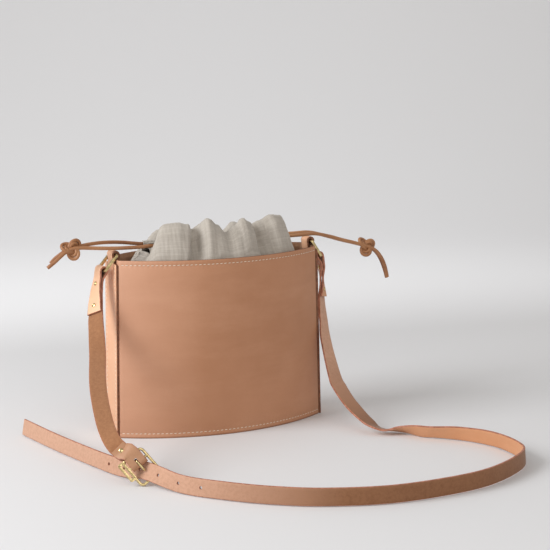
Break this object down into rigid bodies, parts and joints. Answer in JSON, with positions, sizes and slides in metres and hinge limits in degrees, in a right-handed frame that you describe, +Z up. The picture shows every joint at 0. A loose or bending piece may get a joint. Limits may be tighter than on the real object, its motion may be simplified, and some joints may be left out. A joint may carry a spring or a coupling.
{
  "type": "drawstring crossbody bag",
  "caption": "Leather crossbody bag with bowed panels, narrow gussets, a gathered linen drawstring pouch and a long buckled strap spread on the floor.",
  "frame": {"origin": "middle of the base panel's underside, where the bag stands on the floor", "axes": "+Z up, -Y out of the front panel, +X towards the right gusset as seen from the front"},
  "size_m": [0.4387, 0.4267, 0.2355],
  "materials": {
    "panel_leather": "smooth vegetable-tanned leather, semi-matte",
    "gusset_leather": "smooth vegetable-tanned leather, semi-matte",
    "strap_leather": "vegetable-tanned leather, smooth grain side and mottled flesh side",
    "lace_leather": "round leather lace, matte",
    "linen": "coarse natural linen, matte",
    "brass": "polished"
  },
  "bodies": {
    "root": {"front_panel": "panel_leather", "back_panel": "panel_leather", "base_panel": "panel_leather", "gusset_left": "gusset_leather", "gusset_right": "gusset_leather", "linen_pouch": "linen", "lace_front": "lace_leather", "lace_back": "lace_leather", "lace_knot_left": "lace_leather", "lace_knot_right": "lace_leather", "ring_left": "brass", "ring_right": "brass", "strap_short": "strap_leather", "strap_long": "strap_leather", "buckle_frame": "brass", "buckle_tongue": "brass", "rivet_left_upper": "brass", "rivet_left_lower": "brass", "rivet_right_upper": "brass", "rivet_right_lower": "brass", "rivet_buckle": "brass"}
  },
  "joints": []
}
